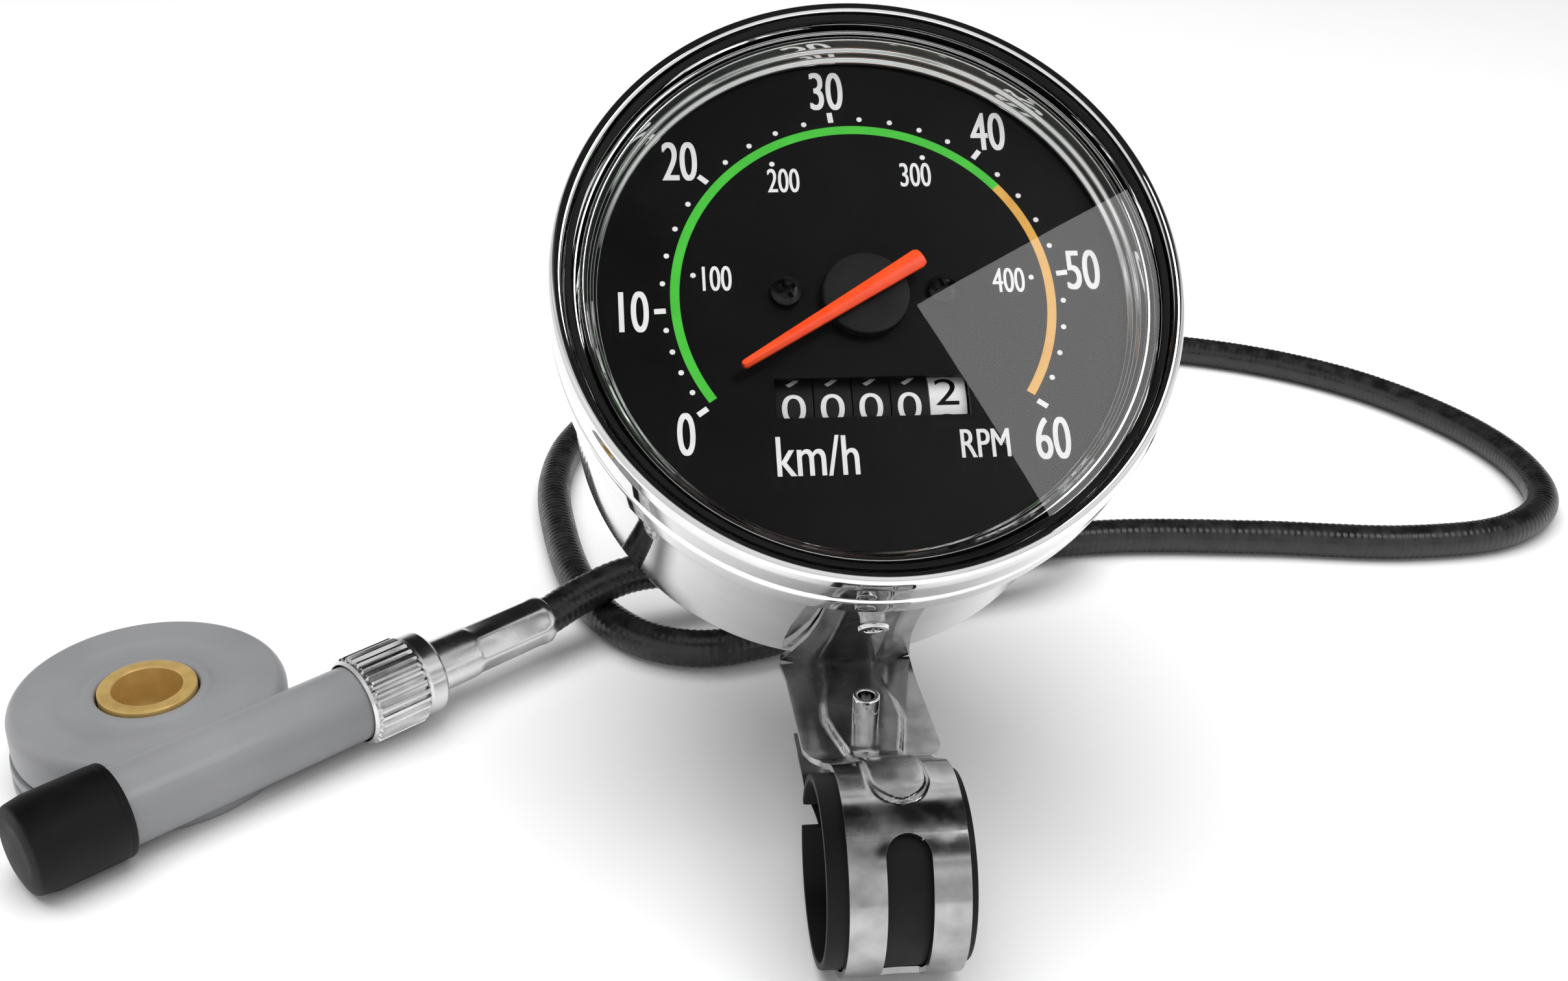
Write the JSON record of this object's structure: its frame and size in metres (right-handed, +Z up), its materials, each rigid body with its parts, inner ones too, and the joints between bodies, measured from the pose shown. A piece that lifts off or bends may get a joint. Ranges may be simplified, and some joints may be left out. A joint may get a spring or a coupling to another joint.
{
  "type": "mechanical cycling computer",
  "caption": "Round analogue dial head with chrome case on a handlebar clamp, driven through a looped flexible cable by a wheel hub gearbox.",
  "frame": {"origin": "centre of the bounding box of the object without its cable, on the surface it stands on", "axes": "+X towards the dial's right, +Y away from the dial's reader, +Z up from the table"},
  "size_m": [0.2735, 0.2147, 0.1069],
  "materials": {
    "chrome": "bright plated",
    "rubber": "black, matte",
    "vinyl": "black vinyl, finely ribbed, glossy",
    "lens": "clear acrylic",
    "aluminium": "bright, crimped or spun",
    "dial": "black printed dial on sheet",
    "black_plastic": "black",
    "blackened_steel": "blackened",
    "needle": "fluorescent orange",
    "brass": "turned",
    "grey_plastic": "satin light grey",
    "white_plastic": "white",
    "magnet": "sintered, dark grey",
    "steel": "bright drawn"
  },
  "bodies": {
    "root": {"back_cover": "grey_plastic", "bezel_ring": "chrome", "boss_nut": "steel", "bracket": "chrome", "brass_bush": "brass", "cable_casing": "vinyl", "carry_axle": "steel", "carry_pinion_1": "white_plastic", "carry_pinion_2": "white_plastic", "carry_pinion_3": "white_plastic", "carry_pinion_4": "white_plastic", "case_rivet": "chrome", "case_shell": "chrome", "clamp_insert": "chrome", "clamp_liner": "rubber", "dial_plate": "dial", "dial_screw_left": "blackened_steel", "dial_screw_right": "blackened_steel", "feed_pawl": "steel", "ferrule_gearbox": "aluminium", "ferrule_head": "aluminium", "gearbox_housing": "grey_plastic", "lens": "lens", "lens_gasket": "rubber", "movement_frame": "steel", "odometer_axle": "steel", "pivot_boss": "black_plastic", "rear_boss": "steel", "thrust_washer": "steel", "trim_ring": "chrome", "tube_plug": "steel"},
    "needle_group": {"needle": "needle", "needle_spindle": "steel", "speed_cup": "aluminium", "hairspring": "brass"},
    "input_group": {"input_shaft": "steel", "drive_magnet": "magnet", "core_tip_head": "steel"},
    "cross_shaft_group": {"cross_shaft": "steel"},
    "drum_1": {"odometer_drum_1": "black_plastic"},
    "drum_2": {"odometer_drum_2": "black_plastic"},
    "drum_3": {"odometer_drum_3": "black_plastic"},
    "drum_4": {"odometer_drum_4": "black_plastic"},
    "drum_5": {"odometer_drum_5": "white_plastic", "ratchet_wheel": "steel"},
    "drive_ring_group": {"drive_ring": "grey_plastic"},
    "worm_group": {"worm_shaft": "steel", "core_tip_gearbox": "steel"},
    "head_nut": {"union_nut_head": "chrome"},
    "gearbox_nut": {"union_nut_gearbox": "chrome"},
    "clamp_screw_group": {"clamp_screw": "steel"},
    "cap_group": {"rubber_cap": "rubber"}
  },
  "joints": [
    {"name": "needle_sweep", "type": "hinge", "parent": "root", "child": "needle_group", "pos_m": [0.03989, -0.00221, 0.07558], "axis": [0, 0.6921, -0.7218], "range_deg": [0, 246], "stiffness_Nm_per_rad": 0.0001, "springref_deg": -17.19},
    {"name": "drive_ring_spin", "type": "hinge", "parent": "root", "child": "drive_ring_group", "pos_m": [-0.06101, 0.00969, 0.0025], "axis": [0, 0, 1], "continuous": true},
    {"name": "worm_spin", "type": "hinge", "parent": "root", "child": "worm_group", "pos_m": [-0.05029, -0.00389, 0.0069], "axis": [0.7848, 0.6198, 0], "continuous": true},
    {"name": "input_spin", "type": "hinge", "parent": "root", "child": "input_group", "pos_m": [0.03989, 0.02035, 0.05205], "axis": [0, -0.6921, 0.7218], "continuous": true},
    {"name": "cross_shaft_spin", "type": "hinge", "parent": "root", "child": "cross_shaft_group", "pos_m": [0.03989, 0.01562, 0.04557], "axis": [1, 0, 0], "continuous": true},
    {"name": "drum_1_roll", "type": "hinge", "parent": "root", "child": "drum_1", "pos_m": [0.03989, -0.00393, 0.05758], "axis": [1, 0, 0], "continuous": true},
    {"name": "drum_2_roll", "type": "hinge", "parent": "root", "child": "drum_2", "pos_m": [0.03989, -0.00393, 0.05758], "axis": [1, 0, 0], "continuous": true},
    {"name": "drum_3_roll", "type": "hinge", "parent": "root", "child": "drum_3", "pos_m": [0.03989, -0.00393, 0.05758], "axis": [1, 0, 0], "continuous": true},
    {"name": "drum_4_roll", "type": "hinge", "parent": "root", "child": "drum_4", "pos_m": [0.03989, -0.00393, 0.05758], "axis": [1, 0, 0], "continuous": true},
    {"name": "drum_5_roll", "type": "hinge", "parent": "root", "child": "drum_5", "pos_m": [0.03989, -0.00393, 0.05758], "axis": [1, 0, 0], "continuous": true},
    {"name": "head_nut_turn", "type": "hinge", "parent": "root", "child": "head_nut", "pos_m": [0.03989, 0.0342, 0.03761], "axis": [0, -0.6921, 0.7218], "continuous": true},
    {"name": "gearbox_nut_turn", "type": "hinge", "parent": "root", "child": "gearbox_nut", "pos_m": [-0.02753, 0.01409, 0.0069], "axis": [0.7848, 0.6198, 0], "continuous": true},
    {"name": "clamp_screw_turn", "type": "hinge", "parent": "root", "child": "clamp_screw_group", "pos_m": [0.03989, -0.01741, 0.012], "axis": [0, 0, 1], "continuous": true},
    {"name": "cap_pull", "type": "slide", "parent": "root", "child": "cap_group", "axis": [-0.7848, -0.6198, 0], "range_m": [0, 0.016]}
  ],
  "couplings": [
    {"joint": "worm_spin", "follows": "drive_ring_spin", "ratio": -2},
    {"joint": "input_spin", "follows": "drive_ring_spin", "ratio": -2},
    {"joint": "cross_shaft_spin", "follows": "drive_ring_spin", "ratio": -0.066667},
    {"joint": "drum_5_roll", "follows": "drive_ring_spin", "ratio": -0.0020833},
    {"joint": "drum_4_roll", "follows": "drive_ring_spin", "ratio": -0.00020833},
    {"joint": "drum_3_roll", "follows": "drive_ring_spin", "ratio": -0.000020833},
    {"joint": "drum_2_roll", "follows": "drive_ring_spin", "ratio": -0.0000020833},
    {"joint": "drum_1_roll", "follows": "drive_ring_spin", "ratio": -0.00000020833}
  ]
}
